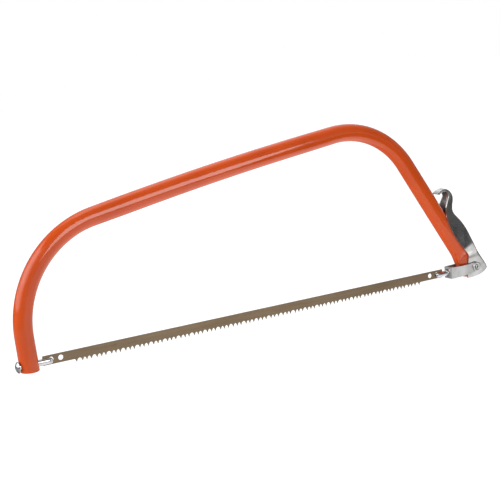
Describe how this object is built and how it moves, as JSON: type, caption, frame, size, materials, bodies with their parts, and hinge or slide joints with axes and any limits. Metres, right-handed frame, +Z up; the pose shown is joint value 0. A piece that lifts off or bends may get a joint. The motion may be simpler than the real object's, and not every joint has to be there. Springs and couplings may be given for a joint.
{
  "type": "bow saw",
  "caption": "Bow saw with a bent tubular steel frame, a toothed blade held in forked bolts, and an over-centre lever with a yoke that tensions the blade.",
  "frame": {"origin": "under the middle of the whole saw's bounding box, with the saw upright and the blade level", "axes": "+X along the blade from its front bolt to the lever, +Y through the saw's thickness, +Z up from the blade to the tube"},
  "size_m": [0.718, 0.0285, 0.2416],
  "materials": {
    "enamel": "glossy orange enamel on steel tube",
    "blade_steel": "brown tempered blade steel, bare and satin",
    "bright_zinc": "bright zinc plating",
    "satin_zinc": "satin zinc plating on pressed steel"
  },
  "bodies": {
    "frame": {"frame_tube": "enamel", "fulcrum_sleeve": "satin_zinc"},
    "blade_set": {"saw_blade": "blade_steel", "nose_bolt": "bright_zinc", "nose_pin": "bright_zinc", "rear_bolt": "bright_zinc", "rear_pin": "bright_zinc"},
    "lever": {"lever": "satin_zinc", "fulcrum_pin": "satin_zinc"},
    "yoke": {"yoke": "satin_zinc", "near_washer": "satin_zinc", "far_washer": "satin_zinc", "pivot_rivet": "bright_zinc", "pivot_spacer": "satin_zinc"}
  },
  "joints": [
    {"name": "lever_hinge", "type": "hinge", "parent": "frame", "child": "lever", "pos_m": [0.32835, 0, 0.0127], "axis": [0, 1, 0], "range_deg": [0, 90]},
    {"name": "yoke_hinge", "type": "hinge", "parent": "lever", "child": "yoke", "pos_m": [0.3366, 0, 0.0147], "axis": [0, 1, 0], "range_deg": [-77, 0]},
    {"name": "blade_turn", "type": "hinge", "parent": "frame", "child": "blade_set", "pos_m": [-0.3254, 0, 0.0117], "axis": [1, 0, 0], "range_deg": [-90, 90]}
  ],
  "couplings": [
    {"joint": "yoke_hinge", "follows": "lever_hinge", "ratio": -0.845}
  ]
}
